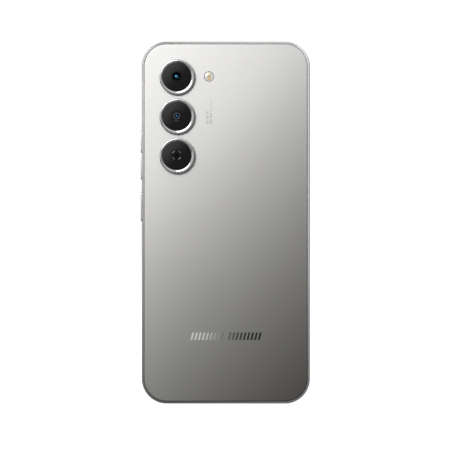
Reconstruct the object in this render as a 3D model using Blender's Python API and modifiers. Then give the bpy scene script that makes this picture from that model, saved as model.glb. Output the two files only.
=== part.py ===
"""A slim smartphone, built up from its separate pieces.

The phone stands upright on its bottom edge: +Z runs up its length, +X across it and +Y
through its thickness, from the rear cover to the display. The origin is on the bottom edge,
at the middle of its width and thickness. Sizes in this file are millimetres, and the shape
functions turn them into metres.
"""

import bpy
import bmesh
from math import pi, radians
from mathutils import Matrix, Vector

MM = 0.001

# The whole body
WIDTH = 77.0
HEIGHT = 165.8
DEPTH = 7.7
CORNER = 11.4
BACK = -DEPTH / 2
FRONT = DEPTH / 2
GAP = 0.1
HOLE_GAP = 0.15

# Side frame: how far each edge lies inside the body's outline
RIM_DROP = 0.1
RIM_WIDTH = 1.0
WALL = 2.4
FRAME_EDGE = 0.45
REAR_LEDGE = BACK + 0.9
FRONT_LEDGE = FRONT - 0.95
RIM_GAP = 0.15

# The stack through the thickness, each pair running towards the display
COVER = (BACK, BACK + 0.6)
REAR_GLUE = (COVER[1] + GAP, REAR_LEDGE - GAP)
GLASS = (FRONT - 0.65, FRONT)
FRONT_GLUE = (FRONT_LEDGE + GAP, GLASS[0] - GAP)
PANEL = (2.35, GLASS[0] - GAP)
BACKLIGHT = (1.8, PANEL[0] - GAP)
PLATE = (0.95, 1.45)
BOARD = (0.1, 0.8)
BOARD_BRACKET = (-2.7, -2.0)
BATTERY = (-2.75, 0.7)
SOLDERED = BOARD[0] - GAP
INNER = WALL + 0.2

# Cameras: one column, evenly spaced
CAMERA_X = -22.5
CAMERA_TOP_Z = 149.7
CAMERA_PITCH = 18.0
CAMERA_Z = [CAMERA_TOP_Z - CAMERA_PITCH * row for row in range(3)]
CAMERA_NAMES = ("top", "middle", "bottom")
RING_OFFSET = (0.35, -0.33)
RING_RADIUS = 8.2
RING_HEIGHT = 5.3
RING_COLLAR = 7.4
RING_SEAT = 6.95
LENS_GLASS_RADIUS = 6.8
FLASH_X = -7.7
FLASH_Z = 149.8
FLASH_RADIUS = 2.2
FRONT_CAMERA_Z = 159.6

# Side keys, on the -X side, each with a flange that reaches past its ends behind the wall
KEY_PROUD = 0.64
KEY_HALF_DEPTH = 1.1
KEY_WALL = 1.1
FLANGE_REACH = 0.7
FLANGE_HALF_DEPTH = 1.4
POCKET_GAP = 0.2
KEY_SPANS = {
    "volume_up_button": (115.0, 125.4),
    "volume_down_button": (102.7, 112.9),
    "power_button": (83.5, 97.1),
}

# Card tray, on the +X side
TRAY_Y = -0.8
TRAY_THICK = 1.0
TRAY_Z = (123.9, 134.7)
BEZEL_Z = (119.5, 135.5)
BEZEL_HALF_DEPTH = 0.9
BEZEL_WALL = 0.8
TRAY_END_X = 21.0
EJECT_Z = 121.7
LEVER_PIVOT = (19.0, TRAY_Y, 124.6)

# Bottom edge
PORT_Y = -0.8
USB_HALF_WIDTH = 4.47
USB_HALF_DEPTH = 1.6
USB_WALL = 0.3
USB_LENGTH = 7.6
BOTTOM_MIC_X = -12.5
TOP_MIC_X = -12.5
SPEAKER_HOLES_X = [13.0 + 2.2 * step for step in range(6)]
MOTOR_X = -27.0
MOTOR_Z = 13.2
MOTOR_RADIUS = 4.6

EARPIECE_HALF_WIDTH = 6.1
EARPIECE_LOW_Z = HEIGHT - 1.75

SCREW_HOLE = 0.9
SCREW_PLACES = [(33.2, 152.0), (-10.4, 136.0), (33.2, 109.2), (-32.6, 21.0), (32.6, 20.2)]

BIG_STEPS = 10
SMALL_STEPS = 4
INNER_STEPS = SMALL_STEPS + 2
SHARP_ANGLE = radians(32)

for leftover in list(bpy.data.objects):
    bpy.data.objects.remove(leftover)

parts = bpy.data.collections.new("smartphone")
cutters = bpy.data.collections.new("cutters")
bpy.context.scene.collection.children.link(parts)
bpy.context.scene.collection.children.link(cutters)


# ---------------------------------------------------------------- shape functions

def add(name, solid, centre):
    """Put a bmesh in the scene as an object whose origin is at the given centre."""
    mesh = bpy.data.meshes.new(name)
    solid.to_mesh(mesh)
    solid.free()
    mesh.shade_smooth()
    mesh.set_sharp_from_angle(angle=SHARP_ANGLE)
    part = bpy.data.objects.new(name, mesh)
    part.location = centre
    parts.objects.link(part)
    return part


def block(name, low, high, corner=0.0, axis="Y", steps=SMALL_STEPS, rim=0.0, rim_ends=(-1, 1)):
    """Box between two corners, with its edges along one axis and its end rims rounded."""
    low = Vector(low) * MM
    high = Vector(high) * MM
    along = "XYZ".index(axis)
    solid = bmesh.new()
    bmesh.ops.create_cube(solid, size=1.0)
    bmesh.ops.scale(solid, vec=high - low, verts=solid.verts)
    if corner:
        lengthwise = [edge for edge in solid.edges
                      if edge.verts[0].co[along] * edge.verts[1].co[along] < 0]
        bmesh.ops.bevel(solid, geom=lengthwise, offset=corner * MM, segments=steps,
                        profile=0.5, affect="EDGES")
    if rim:
        rims = [edge for edge in solid.edges for end in rim_ends
                if all(vert.co[along] * end > 0 for vert in edge.verts)]
        bmesh.ops.bevel(solid, geom=rims, offset=rim * MM, segments=2,
                        profile=0.5, affect="EDGES")
    return add(name, solid, (low + high) / 2)


def plate(name, inset, levels, corner_steps=BIG_STEPS, bottom=None, top=None, **edges):
    """Slab with the body's own outline, drawn in by an inset."""
    left = WIDTH / 2 - inset
    low_z = inset if bottom is None else bottom
    high_z = HEIGHT - inset if top is None else top
    return block(name, (-left, levels[0], low_z), (left, levels[1], high_z),
                 corner=CORNER - inset, steps=corner_steps, **edges)


def rod(name, start, end, radius, sides=16):
    """Cylinder between the middles of its two ends."""
    start = Vector(start) * MM
    end = Vector(end) * MM
    solid = bmesh.new()
    bmesh.ops.create_cone(solid, cap_ends=True, segments=sides, radius1=radius * MM,
                          radius2=radius * MM, depth=(end - start).length)
    turn = Vector((0, 0, 1)).rotation_difference(end - start).to_matrix().to_4x4()
    bmesh.ops.transform(solid, matrix=turn, verts=solid.verts)
    return add(name, solid, (start + end) / 2)


def turned(name, profile, x, z, steps=36, closed=False):
    """Round piece about an axis through the thickness.

    Its profile is (radius, height) pairs down the outer side, where a height is how far
    behind the body's middle a point lies.
    """
    outline = bmesh.new()
    points = [outline.verts.new((radius * MM, 0, height * MM)) for radius, height in profile]
    following = points[1:] + points[:1] if closed else points[1:]
    for first, second in zip(points, following):
        outline.edges.new((first, second))
    part = add(name, outline, (x * MM, 0, z * MM))
    part.rotation_euler = (pi / 2, 0, 0)
    spin = part.modifiers.new("spin", "SCREW")
    spin.steps = steps
    spin.render_steps = steps
    spin.use_merge_vertices = True
    spin.merge_threshold = 0.000001
    spin.use_smooth_shade = True
    return part


def ribbon(name, path, left, right, thickness=0.12):
    """Flexible circuit: a path of (depth, height) points swept across the width."""
    strip = bmesh.new()
    points = [strip.verts.new((left * MM, y * MM, z * MM)) for y, z in path]
    run = [strip.edges.new(pair) for pair in zip(points, points[1:])]
    swept = bmesh.ops.extrude_edge_only(strip, edges=run)["geom"]
    far_side = [item for item in swept if isinstance(item, bmesh.types.BMVert)]
    bmesh.ops.translate(strip, vec=((right - left) * MM, 0, 0), verts=far_side)
    part = add(name, strip, (0, 0, 0))
    skin = part.modifiers.new("thickness", "SOLIDIFY")
    skin.thickness = thickness * MM
    skin.offset = 0
    skin.use_even_offset = True
    return part


def combine(part, tool, operation):
    """Cut, join or trim a part with a tool, which then leaves the parts."""
    parts.objects.unlink(tool)
    cutters.objects.link(tool)
    tool.hide_render = True
    tool.display_type = "WIRE"
    boolean = part.modifiers.new(tool.name, "BOOLEAN")
    boolean.operation = operation
    boolean.object = tool
    boolean.solver = "EXACT"


def cut(part, *tools):
    for tool in tools:
        combine(part, tool, "DIFFERENCE")


def join(part, *tools):
    for tool in tools:
        combine(part, tool, "UNION")


def keep_inside(part, inset=INNER):
    """Trim a part to the outline of the space inside the frame."""
    room = plate(part.name + "_room", inset, (BACK, FRONT), corner_steps=INNER_STEPS)
    combine(part, room, "INTERSECT")


def move_origin(part, place):
    """Put a part's origin on its joint, leaving its shape where it is."""
    shift = Vector(place) * MM - part.location
    part.data.transform(Matrix.Translation(-shift))
    part.location += shift


def finish(part, colour, roughness, metallic=0.0):
    """Give a part its own material."""
    material = bpy.data.materials.new(part.name + "_finish")
    material.use_nodes = True
    shader = material.node_tree.nodes["Principled BSDF"]
    shader.inputs["Base Color"].default_value = (*colour, 1.0)
    shader.inputs["Roughness"].default_value = roughness
    shader.inputs["Metallic"].default_value = metallic
    part.data.materials.append(material)
    return part


SATIN_SILVER = (0.62, 0.61, 0.60)
FRAME_SILVER = (0.50, 0.48, 0.50)
BRIGHT_METAL = (0.75, 0.75, 0.76)
STEEL = (0.55, 0.55, 0.56)
BLACK_PLASTIC = (0.02, 0.02, 0.022)
BLACK_GLASS = (0.008, 0.009, 0.012)
BOARD_GREEN = (0.01, 0.09, 0.06)
GLUE_BLACK = (0.03, 0.03, 0.03)
FLEX_AMBER = (0.25, 0.11, 0.02)
GOLD_BROWN = (0.35, 0.26, 0.12)
CLEAR_AMBER = (0.85, 0.80, 0.55)


# ---------------------------------------------------------------- shells and structure

def make_side_frame():
    """Ring round the body, with a ledge for the rear cover and one for the cover glass."""
    frame = plate("side_frame", 0, (BACK + RIM_DROP, FRONT - RIM_DROP), rim=FRAME_EDGE)
    beyond = DEPTH
    cut(frame,
        plate("rear_recess", RIM_WIDTH, (-beyond, REAR_LEDGE)),
        plate("front_recess", RIM_WIDTH, (FRONT_LEDGE, beyond)),
        plate("inner_opening", WALL, (-beyond, beyond), corner_steps=INNER_STEPS))
    cut_key_slots(frame)
    cut_tray_slot(frame)
    cut_bottom_edge(frame)
    cut(frame, rod("top_mic_hole", (TOP_MIC_X, 0, HEIGHT - WALL - 1),
                   (TOP_MIC_X, 0, HEIGHT + 1), 0.4, sides=10))
    finish(frame, FRAME_SILVER, 0.28, 0.8)


def cut_key_slots(frame):
    """A slot for each key's cap, and a wider pocket behind the wall for its flange."""
    outside = -WIDTH / 2
    slot = KEY_HALF_DEPTH + HOLE_GAP
    pocket = FLANGE_HALF_DEPTH + POCKET_GAP
    reach = FLANGE_REACH + POCKET_GAP
    for name, (low_z, high_z) in KEY_SPANS.items():
        cut(frame,
            block(name + "_slot", (outside - 1, -slot, low_z - HOLE_GAP),
                  (outside + WALL + 1, slot, high_z + HOLE_GAP), corner=slot * 0.97, axis="X"),
            block(name + "_pocket", (outside + KEY_WALL, -pocket, low_z - reach),
                  (outside + WALL + 1, pocket, high_z + reach)))


def cut_tray_slot(frame):
    """A shallow seat for the tray's bezel, then the slot that the tray itself runs in."""
    outside = WIDTH / 2
    seat = BEZEL_HALF_DEPTH + HOLE_GAP
    tray = TRAY_THICK / 2 + HOLE_GAP
    cut(frame,
        block("bezel_seat", (outside - 1.05, TRAY_Y - seat, BEZEL_Z[0] - HOLE_GAP),
              (outside + 1, TRAY_Y + seat, BEZEL_Z[1] + HOLE_GAP), corner=seat * 0.97, axis="X"),
        block("tray_slot", (outside - WALL - 1, TRAY_Y - tray, TRAY_Z[0] - POCKET_GAP),
              (outside - BEZEL_WALL, TRAY_Y + tray, TRAY_Z[1] + POCKET_GAP)),
        rod("eject_bore", (outside - WALL - 1, TRAY_Y, EJECT_Z), (outside, TRAY_Y, EJECT_Z), 0.6,
            sides=12))


def cut_bottom_edge(frame):
    """The plug's mouth, the loudspeaker's row of holes and the microphone's hole."""
    mouth_x = USB_HALF_WIDTH + HOLE_GAP
    mouth_y = USB_HALF_DEPTH + HOLE_GAP
    cut(frame, block("usb_mouth", (-mouth_x, PORT_Y - mouth_y, -1),
                     (mouth_x, PORT_Y + mouth_y, WALL + 1), corner=mouth_y * 0.97, axis="Z",
                     steps=6))
    for number, x in enumerate(SPEAKER_HOLES_X):
        cut(frame, rod(f"speaker_hole_{number}", (x, PORT_Y, -1), (x, PORT_Y, WALL + 1), 0.7,
                       sides=12))
    cut(frame, rod("bottom_mic_hole", (BOTTOM_MIC_X, PORT_Y, -1),
                   (BOTTOM_MIC_X, PORT_Y, WALL + 1), 0.5, sides=12))


def make_rear_cover():
    """Back panel, with a round hole for each camera ring and one for the flash."""
    cover = plate("rear_cover", RIM_WIDTH + RIM_GAP, COVER, rim=0.3, rim_ends=(-1,))
    for name, z in zip(CAMERA_NAMES, CAMERA_Z):
        x, ring_z = CAMERA_X + RING_OFFSET[0], z + RING_OFFSET[1]
        cut(cover, rod(name + "_camera_hole", (x, BACK - 1, ring_z), (x, BACK + 2, ring_z),
                       RING_COLLAR + 0.2, sides=36))
    cut(cover, rod("flash_hole", (FLASH_X, BACK - 1, FLASH_Z), (FLASH_X, BACK + 2, FLASH_Z),
                   FLASH_RADIUS + HOLE_GAP, sides=24))
    finish(cover, SATIN_SILVER, 0.35, 0.6)
    glue_line("rear_cover_adhesive", REAR_GLUE)


def glue_line(name, levels):
    """Thin adhesive frame on one of the side frame's ledges."""
    line = plate(name, RIM_WIDTH + 0.3, levels, corner_steps=INNER_STEPS)
    cut(line, plate(name + "_inside", WALL - 0.2, (levels[0] - 1, levels[1] + 1),
                    corner_steps=INNER_STEPS))
    finish(line, GLUE_BLACK, 0.8)


def make_mid_plate():
    """Stamped plate across the frame, which carries the display on one side."""
    sheet = plate("mid_plate", INNER, PLATE, corner_steps=INNER_STEPS)
    below, above = PLATE[0] - 1, PLATE[1] + 1
    cut(sheet,
        block("front_camera_window", (-3.3, below, FRONT_CAMERA_Z - 3.1),
              (3.3, above, FRONT_CAMERA_Z + 3.1)),
        block("display_flex_window", (-24.6, below, 23.2), (-8.4, above, 26.2)),
        block("usb_notch", (-5.8, below, 0), (5.8, above, 4.4)))
    for number, (x, z) in enumerate(SCREW_PLACES):
        cut(sheet, rod(f"plate_thread_{number}", (x, below, z), (x, above, z), 0.85, sides=10))
    finish(sheet, (0.35, 0.35, 0.36), 0.45, 0.9)


def make_board_cover():
    """Moulded bracket over the main board and the cameras."""
    low, high = BOARD_BRACKET
    cover = block("board_cover", (-34.4, low, 106.6), (35.2, high, 155.4), corner=3)
    turrets = (5.0, 3.7, 2.9)
    for name, z, radius in zip(CAMERA_NAMES, CAMERA_Z, turrets):
        cut(cover, rod(name + "_turret_hole", (CAMERA_X, low - 1, z), (CAMERA_X, high + 1, z),
                       radius, sides=20))
    cut(cover, rod("flash_window", (FLASH_X, low - 1, FLASH_Z), (FLASH_X, high + 1, FLASH_Z),
                   3.1, sides=16))
    for number, (x, z) in enumerate(SCREW_PLACES[:3]):
        cut(cover, rod(f"cover_screw_hole_{number}", (x, low - 1, z), (x, high + 1, z),
                       SCREW_HOLE, sides=10))
    finish(cover, BLACK_PLASTIC, 0.6)


def make_screws():
    """Pan-head screws through the covers and boards into the mid plate."""
    head_top, head_under, tip = 3.12, 2.8, -1.3
    for number, (x, z) in enumerate(SCREW_PLACES, start=1):
        profile = [(0, head_top), (0.9, head_top), (1.15, head_top - 0.12), (1.15, head_under),
                   (0.65, head_under), (0.65, tip + 0.3), (0.35, tip), (0, tip)]
        finish(turned(f"screw_{number}", profile, x, z, steps=12), STEEL, 0.35, 1.0)


# ---------------------------------------------------------------- display side

def make_display():
    """Cover glass with the liquid-crystal panel and its backlight behind it."""
    glass = plate("cover_glass", RIM_WIDTH + 0.2, GLASS, rim=0.3, rim_ends=(1,))
    notch = EARPIECE_HALF_WIDTH + POCKET_GAP
    cut(glass, block("earpiece_notch", (-notch, GLASS[0] - 1, EARPIECE_LOW_Z - POCKET_GAP),
                     (notch, FRONT + 1, HEIGHT)))
    finish(glass, BLACK_GLASS, 0.05)
    mesh = block("earpiece_mesh", (-EARPIECE_HALF_WIDTH, GLASS[0], EARPIECE_LOW_Z),
                 (EARPIECE_HALF_WIDTH, FRONT - 0.15, HEIGHT - RIM_WIDTH - GAP),
                 corner=0.25, steps=2)
    finish(mesh, STEEL, 0.5, 0.9)
    panel = plate("display_panel", INNER, PANEL, corner_steps=INNER_STEPS)
    cut(panel, rod("panel_eye", (0, PANEL[0] - 1, FRONT_CAMERA_Z),
                   (0, PANEL[1] + 1, FRONT_CAMERA_Z), 2.3, sides=24))
    finish(panel, (0.01, 0.01, 0.015), 0.2)
    backlight = plate("backlight_unit", INNER, BACKLIGHT, corner_steps=INNER_STEPS, bottom=9.4)
    cut(backlight, rod("backlight_eye", (0, BACKLIGHT[0] - 1, FRONT_CAMERA_Z),
                       (0, BACKLIGHT[1] + 1, FRONT_CAMERA_Z), 2.4, sides=20))
    finish(backlight, (0.8, 0.8, 0.8), 0.4)
    glue_line("display_adhesive", FRONT_GLUE)
    path = [(2.2, 5.0), (2.2, 7.2), (1.95, 8.2), (1.63, 8.9), (1.63, 23.4), (1.35, 24.3),
            (0.5, 24.8), (-0.3, 24.5), (-0.5, 23.6), (-0.5, 18.6)]
    finish(ribbon("display_flex", path, -24, -9), FLEX_AMBER, 0.5)


def make_front_camera():
    """Square module whose round lens looks out through the panel's eye."""
    module = block("front_camera", (-2.9, -1.6, FRONT_CAMERA_Z - 2.7),
                   (2.9, 1.5, FRONT_CAMERA_Z + 2.7), corner=0.4, steps=2)
    join(module, rod("front_camera_barrel", (0, 1.2, FRONT_CAMERA_Z), (0, 3.02, FRONT_CAMERA_Z),
                     1.9, sides=20))
    finish(module, BLACK_PLASTIC, 0.4)
    receiver = block("earpiece_receiver", (6, -2, 157), (18, 0.7, 163), corner=1.2)
    finish(receiver, STEEL, 0.4, 0.6)
    mic = block("top_microphone", (TOP_MIC_X - 1.6, -0.9, 160.9), (TOP_MIC_X + 1.6, 0.7, 163.1))
    finish(mic, (0.7, 0.65, 0.5), 0.35, 0.8)


# ---------------------------------------------------------------- electronics

def make_main_board():
    """Board beside the cameras, with two soldered shield cans."""
    board = block("main_board", (-12.4, BOARD[0], 107), (35.6, BOARD[1], 154.5), corner=1.5)
    for number, (x, z) in enumerate(SCREW_PLACES[:3]):
        cut(board, rod(f"board_hole_{number}", (x, BOARD[0] - 1, z), (x, BOARD[1] + 1, z),
                       SCREW_HOLE, sides=10))
    finish(board, BOARD_GREEN, 0.5)
    shield("processor_shield", (-10.5, 111.6), (16.2, 131))
    shield("radio_shield", (1.5, 137.6), (30.6, 153))


def shield(name, low, high):
    """Pressed can, open towards the board."""
    wall = 0.2
    top = -1.6
    can = block(name, (low[0], top, low[1]), (high[0], SOLDERED, high[1]), corner=0.8, steps=3)
    cut(can, block(name + "_hollow", (low[0] + wall, top + wall, low[1] + wall),
                   (high[0] - wall, SOLDERED + 1, high[1] - wall)))
    finish(can, BRIGHT_METAL, 0.35, 1.0)


def make_sub_board():
    """Lower board with the plug, the microphone and the motor."""
    board = block("sub_board", (-35.8, BOARD[0], 2.9), (9.6, BOARD[1], 22.6))
    keep_inside(board)
    x, z = SCREW_PLACES[3]
    cut(board,
        block("usb_cutout", (-5.3, BOARD[0] - 1, 0), (5.3, BOARD[1] + 1, USB_LENGTH + 0.4)),
        rod("sub_board_hole", (x, BOARD[0] - 1, z), (x, BOARD[1] + 1, z), SCREW_HOLE,
            sides=10))
    finish(board, BOARD_GREEN, 0.5)
    mic = block("bottom_microphone", (BOTTOM_MIC_X - 1.6, -1.3, 2.8),
                (BOTTOM_MIC_X + 1.6, SOLDERED, 5.2))
    finish(mic, (0.7, 0.65, 0.5), 0.35, 0.8)


def make_battery():
    """Pouch cell on two-sided tape, with its connector tail."""
    cell = block("battery", (-33, BATTERY[0], 26.8), (33, BATTERY[1], 103.8), corner=1.8, rim=0.5)
    finish(cell, (0.05, 0.05, 0.055), 0.45)
    tape = block("battery_adhesive", (-24, BATTERY[1] + 0.08, 30), (24, PLATE[0] - 0.08, 98))
    finish(tape, (0.8, 0.8, 0.78), 0.5)
    tail = [(-0.9, 104.1), (-0.9, 105.3), (-0.55, 106.2), (-0.12, 107.0), (-0.12, 110.8)]
    finish(ribbon("battery_flex", tail, 18.5, 26.5, 0.15), FLEX_AMBER, 0.5)


def make_wiring():
    """Long flexible circuit behind the battery, key circuit and antenna lead."""
    path = [(-0.2, 110.9), (-0.2, 107.2), (-0.5, 106.1), (-1.2, 105.4), (-2.2, 105.1),
            (-2.78, 104.7), (-2.95, 103.6), (-2.95, 27.0), (-2.78, 26.0), (-2.2, 25.6),
            (-1.1, 25.4), (-0.4, 24.9), (-0.2, 23.8), (-0.2, 18.4)]
    finish(ribbon("main_flex", path, -4, 5), FLEX_AMBER, 0.5)
    inner_wall = -WIDTH / 2 + WALL
    keys = block("side_key_flex", (inner_wall + 0.6, -1.6, 80.5), (inner_wall + 0.85, 0.8, 128.5))
    for name, (low_z, high_z) in KEY_SPANS.items():
        middle = (low_z + high_z) / 2
        join(keys, rod(name + "_dome", (inner_wall + 0.15, 0, middle),
                       (inner_wall + 0.7, 0, middle), 0.75, sides=16))
    finish(keys, FLEX_AMBER, 0.5)
    make_antenna_cable()


def make_antenna_cable():
    """Coaxial lead up the side of the battery, from the lower board to the main one."""
    route = [(26, -0.6, 23.6), (30, -0.6, 24.0), (33, -0.6, 24.8), (34.3, -0.6, 27.0),
             (34.7, -0.6, 32.0), (34.7, -0.6, 66.0), (34.7, -0.6, 98.0), (34.4, -0.6, 102.4),
             (32.6, -0.6, 105.0), (31.0, -0.6, 107.0), (30.4, -0.6, 110.0)]
    curve = bpy.data.curves.new("antenna_cable", "CURVE")
    curve.dimensions = "3D"
    curve.bevel_depth = 0.4 * MM
    curve.bevel_resolution = 2
    curve.use_fill_caps = True
    line = curve.splines.new("POLY")
    line.points.add(len(route) - 1)
    for point, place in zip(line.points, route):
        point.co = (*(Vector(place) * MM), 1.0)
    cable = bpy.data.objects.new("antenna_cable", curve)
    parts.objects.link(cable)
    finish(cable, BLACK_PLASTIC, 0.4)


# ---------------------------------------------------------------- cameras and flash

def make_cameras():
    """Three modules of falling size under three equal rings and glasses."""
    main = camera_module("main_camera", CAMERA_Z[0], 5.9, 4.6, 3.3)
    cut(main, rod("lens_bore", (CAMERA_X, BACK - 2, CAMERA_Z[0]), (CAMERA_X, -0.6, CAMERA_Z[0]),
                  3.6, sides=32))
    camera_module("wide_camera", CAMERA_Z[1], 4.6, 3.3, 3.9)
    camera_module("close_up_camera", CAMERA_Z[2], 3.6, 2.5, 3.9)
    barrel = [(0, 3.75), (1.5, 3.8), (1.9, 3.75), (2.1, 3.95), (3.0, 3.95), (3.3, 3.7),
              (3.3, 0.9), (0, 0.9)]
    lens = turned("main_camera_lens", barrel, CAMERA_X, CAMERA_Z[0], steps=32)
    finish(lens, BLACK_PLASTIC, 0.3)
    for name, z in zip(CAMERA_NAMES, CAMERA_Z):
        camera_ring(name, z)


def camera_module(name, z, half, turret_radius, turret_height):
    """Square housing with a round turret towards the rear cover."""
    module = block(name, (CAMERA_X - half, -1.85, z - half), (CAMERA_X + half, 0.75, z + half),
                   corner=0.6, steps=2)
    join(module, rod(name + "_turret", (CAMERA_X, -turret_height, z), (CAMERA_X, -1.2, z),
                     turret_radius, sides=32))
    finish(module, BLACK_PLASTIC, 0.35)
    return module


def camera_ring(name, z):
    """Turned ring with a collar through the rear cover, bored off its centre for the glass.

    Its rim falls gently towards the glass, so the ring is widest on the side it is moved to.
    """
    under = -BACK + GAP
    collar_end = 3.05
    bore = 5.9
    ledge = 4.25
    lip = RING_HEIGHT - 0.3
    ring = turned("camera_ring_" + name,
                  [(RING_RADIUS - 0.4, RING_HEIGHT), (RING_RADIUS, RING_HEIGHT - 0.5),
                   (RING_RADIUS, under), (RING_COLLAR, under), (RING_COLLAR, collar_end),
                   (bore, collar_end), (bore, RING_HEIGHT)],
                  CAMERA_X + RING_OFFSET[0], z + RING_OFFSET[1], closed=True)
    above = RING_HEIGHT + 0.1
    cut(ring, turned(name + "_seat",
                     [(0, above), (RING_SEAT + 1.5, above), (RING_SEAT, lip), (RING_SEAT, ledge),
                      (0, ledge)], CAMERA_X, z))
    finish(ring, BRIGHT_METAL, 0.2, 1.0)
    low, high = ledge + GAP, RING_HEIGHT - 0.4
    disc = [(0, high), (LENS_GLASS_RADIUS - 0.15, high), (LENS_GLASS_RADIUS, high - 0.15),
            (LENS_GLASS_RADIUS, low), (0, low)]
    glass = turned("camera_glass_" + name, disc, CAMERA_X, z)
    finish(glass, BLACK_GLASS, 0.04)


def make_flash():
    """Light diode on a small post, under a clear lens flush with the rear cover."""
    face, shoulder, under = 3.83, 3.15, 2.85
    foot = 2.8
    profile = [(0, face), (FLASH_RADIUS - 0.1, face), (FLASH_RADIUS, face - 0.1),
               (FLASH_RADIUS, shoulder), (foot, shoulder), (foot, under), (0, under)]
    finish(turned("flash_lens", profile, FLASH_X, FLASH_Z, steps=24), CLEAR_AMBER, 0.1)
    diode = block("flash_led", (FLASH_X - 1.5, -2.65, FLASH_Z - 1.5),
                  (FLASH_X + 1.5, SOLDERED, FLASH_Z + 1.5), corner=0.3, steps=2)
    finish(diode, (0.9, 0.75, 0.2), 0.5)


# ---------------------------------------------------------------- side keys

def make_keys():
    """Caps that press in against the domes of the key circuit, held by a flange inside."""
    outside = -WIDTH / 2
    flange_start = outside + KEY_WALL + 0.12
    for name, (low_z, high_z) in KEY_SPANS.items():
        middle = (low_z + high_z) / 2
        cap = block(name, (outside - KEY_PROUD, -KEY_HALF_DEPTH, low_z),
                    (outside + 1.3, KEY_HALF_DEPTH, high_z), corner=KEY_HALF_DEPTH * 0.97,
                    axis="X", rim=0.22, rim_ends=(-1,))
        join(cap,
             block(name + "_flange",
                   (flange_start, -FLANGE_HALF_DEPTH, low_z - FLANGE_REACH),
                   (flange_start + 0.5, FLANGE_HALF_DEPTH, high_z + FLANGE_REACH)),
             block(name + "_nub", (flange_start + 0.38, -0.6, middle - 1.2),
                   (flange_start + 0.88, 0.6, middle + 1.2)))
        if name == "power_button":
            fit_fingerprint_sensor(cap, low_z, high_z)
        finish(cap, FRAME_SILVER, 0.3, 0.8)


def fit_fingerprint_sensor(cap, low_z, high_z):
    """Touch sensor let into the face of the power key, and moving with it."""
    face = -WIDTH / 2 - KEY_PROUD
    half = KEY_HALF_DEPTH - 0.35
    margin = 0.9
    cut(cap, block("sensor_recess", (face - 1, -half - GAP, low_z + margin - GAP),
                   (face + 0.6, half + GAP, high_z - margin + GAP), corner=half * 0.97, axis="X"))
    sensor = block("fingerprint_sensor", (face + 0.06, -half, low_z + margin),
                   (face + 0.5, half, high_z - margin), corner=half * 0.97, axis="X")
    finish(sensor, (0.30, 0.30, 0.31), 0.3, 0.3)
    sensor.parent = cap
    sensor.matrix_parent_inverse = Matrix.Translation(cap.location).inverted()


# ---------------------------------------------------------------- card tray

def make_sim_tray():
    """Tray with its bezel, the cage that it slides in, and the push-out lever."""
    outside = WIDTH / 2
    half = TRAY_THICK / 2
    low_z, high_z = TRAY_Z
    tray = block("sim_tray", (TRAY_END_X, TRAY_Y - half, low_z),
                 (outside - 0.7, TRAY_Y + half, high_z), corner=0.8, steps=2)
    window_x, window_z = (22.3, 34.8), (low_z + 0.9, high_z - 0.9)
    ledge = 0.5
    join(tray, block("bezel", (outside - 0.9, TRAY_Y - BEZEL_HALF_DEPTH, BEZEL_Z[0]),
                     (outside - 0.05, TRAY_Y + BEZEL_HALF_DEPTH, BEZEL_Z[1]),
                     corner=BEZEL_HALF_DEPTH * 0.97, axis="X"))
    cut(tray,
        block("card_recess", (window_x[0], TRAY_Y - 1, window_z[0]),
              (window_x[1], TRAY_Y + half - 0.25, window_z[1])),
        block("card_window", (window_x[0] + ledge, TRAY_Y - 1, window_z[0] + ledge),
              (window_x[1] - ledge, TRAY_Y + 1, window_z[1] - ledge)),
        rod("eject_hole", (outside - 2, TRAY_Y, EJECT_Z), (outside + 1, TRAY_Y, EJECT_Z), 0.5,
            sides=12))
    finish(tray, FRAME_SILVER, 0.35, 0.7)
    make_sim_reader()
    make_eject_lever()


def make_sim_reader():
    """Cage on the main board, open at both ends."""
    low_z, high_z = TRAY_Z
    cage = block("sim_reader", (TRAY_END_X - 0.1, -1.7, low_z - 0.6), (35.6, SOLDERED, high_z + 0.6))
    cut(cage, block("reader_way", (TRAY_END_X - 2, TRAY_Y - TRAY_THICK / 2 - GAP, low_z - 0.3),
                    (40, TRAY_Y + TRAY_THICK / 2 + GAP, high_z + 0.3)))
    finish(cage, BRIGHT_METAL, 0.35, 1.0)


def make_eject_lever():
    """A pin pushed in at the plunger's end turns the lever, which starts the tray out."""
    pivot_x, pivot_y, pivot_z = LEVER_PIVOT
    half = 0.35
    plunger = block("sim_eject_plunger", (pivot_x + 0.6, pivot_y - half, EJECT_Z - 0.4),
                    (35.9, pivot_y + half, EJECT_Z + 0.4))
    finish(plunger, STEEL, 0.4, 0.9)
    lever = block("sim_eject_lever", (pivot_x - 0.4, pivot_y - half, EJECT_Z - 0.6),
                  (pivot_x + 0.4, pivot_y + half, pivot_z + 4.0))
    move_origin(lever, LEVER_PIVOT)
    join(lever, rod("lever_boss", (pivot_x, pivot_y - half, pivot_z),
                    (pivot_x, pivot_y + half, pivot_z), 0.85, sides=16))
    cut(lever, rod("lever_hole", (pivot_x, pivot_y - 1, pivot_z), (pivot_x, pivot_y + 1, pivot_z),
                   0.5, sides=16))
    finish(lever, STEEL, 0.4, 0.9)
    pin = rod("sim_lever_pin", (pivot_x, -1.5, pivot_z), (pivot_x, SOLDERED, pivot_z), 0.35,
              sides=12)
    finish(pin, STEEL, 0.3, 1.0)


# ---------------------------------------------------------------- bottom edge

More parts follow.
